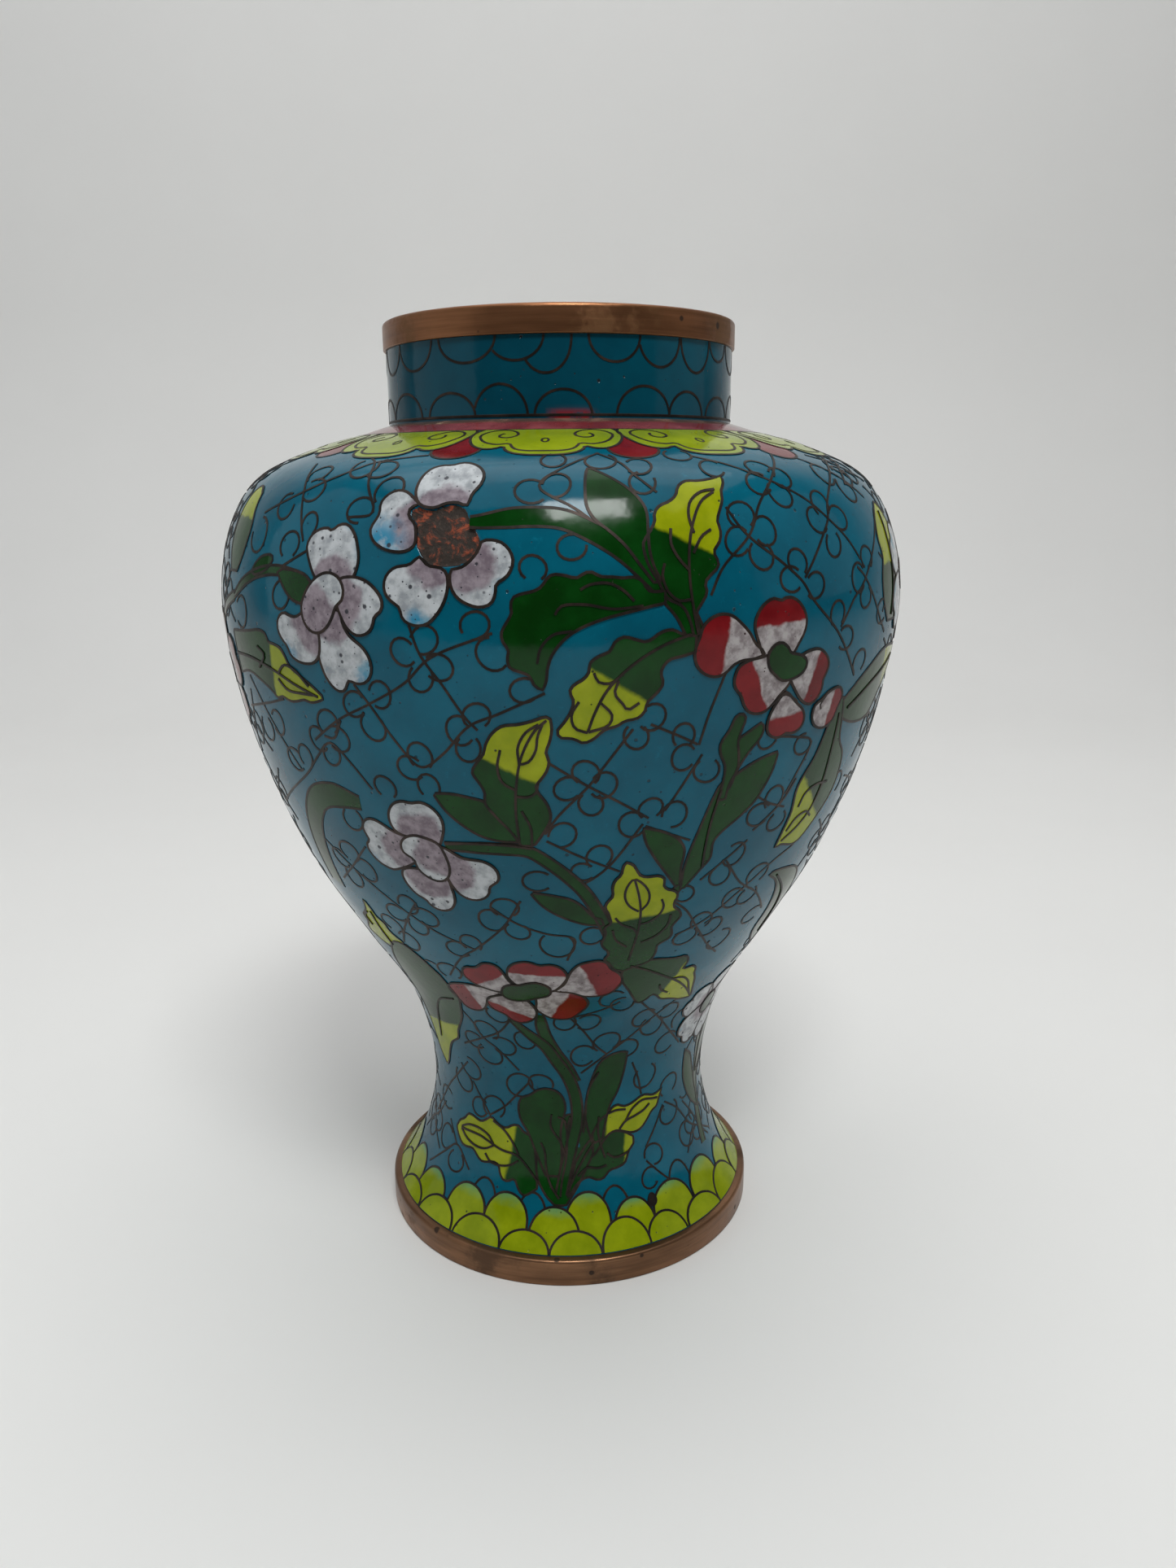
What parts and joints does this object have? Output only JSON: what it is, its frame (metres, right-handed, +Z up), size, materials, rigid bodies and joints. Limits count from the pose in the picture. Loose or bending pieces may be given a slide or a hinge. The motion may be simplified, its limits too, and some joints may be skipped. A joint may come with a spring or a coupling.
{
  "type": "vase",
  "caption": "Enamelled copper baluster vase with a high round shoulder, a narrow waist and foot, a short straight neck and a wired flower pattern.",
  "frame": {"origin": "centre of the foot ring, on the surface the vase stands on", "axes": "+Z up along the vase's axis, -Y towards the side with the main flower spray, +X to that side's right"},
  "size_m": [0.1464, 0.1464, 0.203],
  "materials": {
    "copper": "satin, brushed round the bands, browned with age",
    "wire": "dark, oxidised, polished flush",
    "turquoise_enamel": "glossy opaque enamel with pinholes",
    "neck_enamel": "glossy opaque enamel, a darker turquoise",
    "collar_enamel": "glossy opaque enamel, uneven dark red",
    "lining_enamel": "glossy plain enamel",
    "lime_enamel": "glossy opaque enamel",
    "red_enamel": "glossy opaque enamel, paler at the root",
    "white_enamel": "glossy opaque enamel, speckled, lilac at the root",
    "green_enamel": "glossy opaque enamel",
    "yellow_enamel": "glossy opaque enamel"
  },
  "bodies": {
    "root": {"copper_foot": "copper", "copper_lower_body": "copper", "copper_belly": "copper", "copper_shoulder": "copper", "copper_neck": "copper", "base_disc": "copper", "foot_band": "copper", "mouth_band": "copper", "ground_enamel": "turquoise_enamel", "collar_enamel": "collar_enamel", "neck_enamel": "neck_enamel", "lining_enamel": "lining_enamel", "base_enamel": "lining_enamel", "lappet_cells": "lime_enamel", "tongue_cells": "red_enamel", "scale_cells": "lime_enamel", "white_petals": "white_enamel", "red_petals": "red_enamel", "flower_hearts": "green_enamel", "leaf_cells": "green_enamel", "leaf_tip_cells": "yellow_enamel", "stem_cells": "green_enamel", "collar_wires": "wire", "lappet_wires": "wire", "scroll_wires": "wire", "tongue_wires": "wire", "hanging_arc_wires": "wire", "rising_arc_wires": "wire", "scale_wires": "wire", "petal_wires": "wire", "leaf_wires": "wire", "lattice_wires": "wire"}
  },
  "joints": []
}
